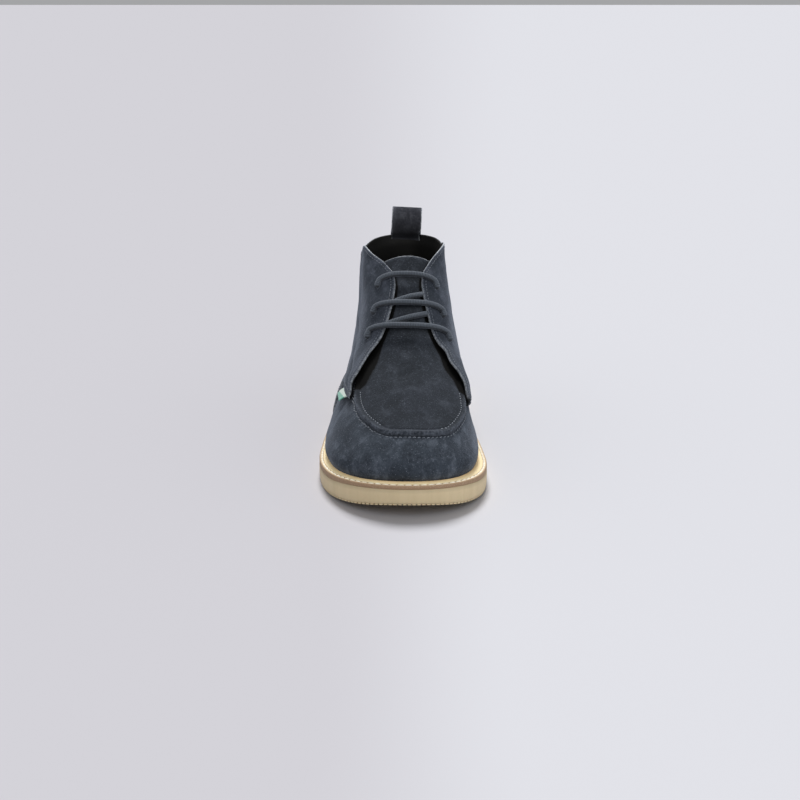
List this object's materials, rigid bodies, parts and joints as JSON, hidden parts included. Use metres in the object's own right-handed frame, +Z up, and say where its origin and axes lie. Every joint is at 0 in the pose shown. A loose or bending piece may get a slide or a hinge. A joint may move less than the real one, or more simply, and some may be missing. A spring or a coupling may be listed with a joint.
{
  "type": "lace-up ankle boot",
  "caption": "right suede ankle boot with open derby lacing, a moccasin plug on the toe, a welt, a rubber sole with a low heel and a pull loop at the collar",
  "frame": {"origin": "on the floor, under the middle of the outline, which is the sole's", "axes": "+Y from the toe to the heel, +X to the medial side, +Z up"},
  "size_m": [0.113, 0.3, 0.1476],
  "materials": {
    "upper": "dark blue-grey suede with a soft nap",
    "plug_tongue": "darker suede",
    "insole": "black lining leather",
    "welt": "tan leather, stained darker at its edge",
    "outsole": "matte cream rubber",
    "lace": "round woven cord",
    "pull_loop": "dark suede strap",
    "side_label": "plain woven tape"
  },
  "bodies": {
    "root": {"upper": "upper", "plug_tongue": "plug_tongue", "insole": "insole", "welt": "welt", "outsole": "outsole", "lace_lower": "lace", "lace_middle": "lace", "lace_upper": "lace", "pull_loop": "pull_loop", "side_label": "side_label"}
  },
  "joints": []
}
